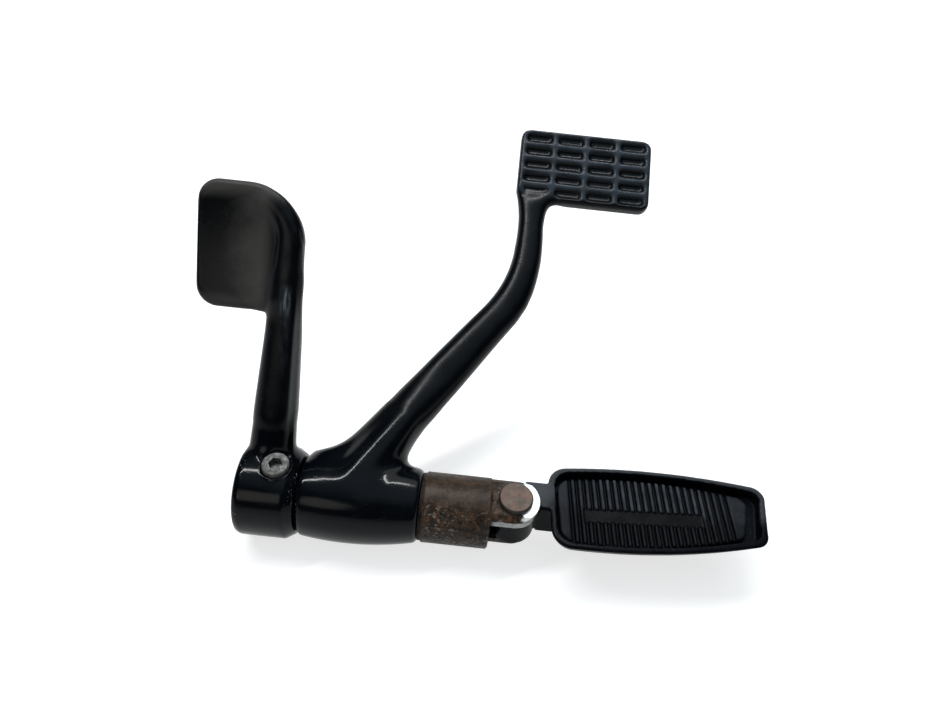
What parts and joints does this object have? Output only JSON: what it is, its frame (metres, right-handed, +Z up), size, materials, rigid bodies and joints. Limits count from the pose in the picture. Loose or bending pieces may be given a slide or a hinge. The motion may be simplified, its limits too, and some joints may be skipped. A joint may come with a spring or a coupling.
{
  "type": "motorcycle footrest with foot pedal",
  "caption": "Folding footpeg with a ribbed rubber top on a turned steel support shaft, which also carries a rocking two-lever foot pedal with a pocketed toe tread and a smooth heel paddle.",
  "frame": {"origin": "centre of the support shaft's inboard end face, at the mouth of the frame bolt's hole", "axes": "+X outboard along the shaft towards the peg, +Y forward, +Z up along the folding pin"},
  "size_m": [0.2871, 0.2069, 0.1457],
  "materials": {
    "black_paint": "gloss black paint on cast steel, worn and dusty",
    "rusty_steel": "turned steel with brown rust",
    "bare_steel": "dull zinc-grey steel",
    "bronze": "oiled sintered bronze",
    "peg_rubber": "satin dark grey rubber"
  },
  "bodies": {
    "shaft": {"support_shaft": "rusty_steel", "hinge_pin": "rusty_steel", "pin_clip": "bare_steel", "spring_washer": "bare_steel", "thrust_washer": "bare_steel", "inboard_washer": "bare_steel", "retaining_ring": "bare_steel"},
    "pedals": {"toe_pedal": "black_paint", "outer_bush": "bronze", "inner_bush": "bronze", "heel_lever": "black_paint", "lock_screw": "bare_steel"},
    "peg": {"footpeg": "black_paint", "footpeg_rubber": "peg_rubber", "rubber_plate": "bare_steel", "rubber_screws": "bare_steel"}
  },
  "joints": [
    {"name": "pedal_rock", "type": "hinge", "parent": "shaft", "child": "pedals", "pos_m": [0, 0, 0], "axis": [1, 0, 0], "range_deg": [-12, 12]},
    {"name": "footpeg_fold", "type": "hinge", "parent": "shaft", "child": "peg", "pos_m": [0.1355, 0, 0], "axis": [0, 0, -1], "range_deg": [0, 90]}
  ]
}
